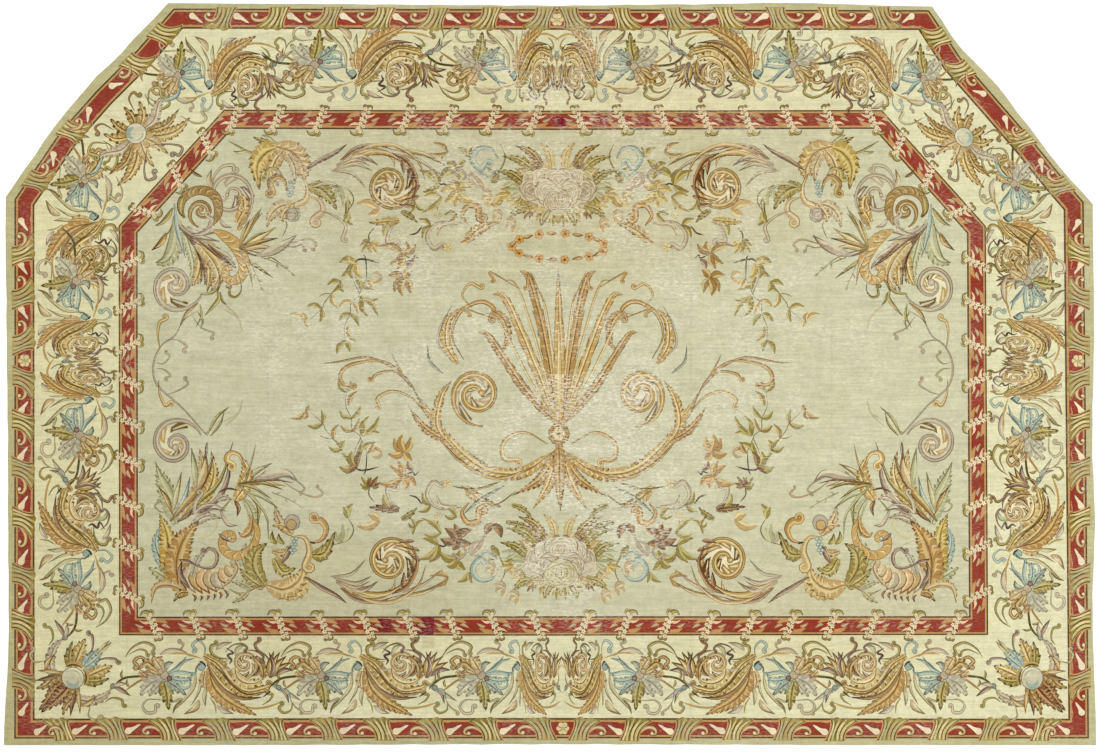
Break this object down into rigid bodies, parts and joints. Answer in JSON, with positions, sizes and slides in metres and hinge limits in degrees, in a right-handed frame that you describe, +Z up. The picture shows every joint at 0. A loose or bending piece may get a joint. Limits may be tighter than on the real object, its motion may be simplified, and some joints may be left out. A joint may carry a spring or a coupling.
{
  "type": "flat-woven tapestry carpet",
  "caption": "Large flat-woven floral tapestry carpet, one wool cloth with its two far corners cut off, lying face up.",
  "frame": {"origin": "on the floor under the middle of the cloth's bounding box", "axes": "+X along the cloth's longer side, +Y towards the cut-off corners (the top of the design), +Z up out of the woven face"},
  "size_m": [5.46, 3.7128, 0.0064],
  "materials": {
    "woven_wool": "matt, faded"
  },
  "bodies": {
    "root": {"tapestry": "woven_wool"}
  },
  "joints": []
}
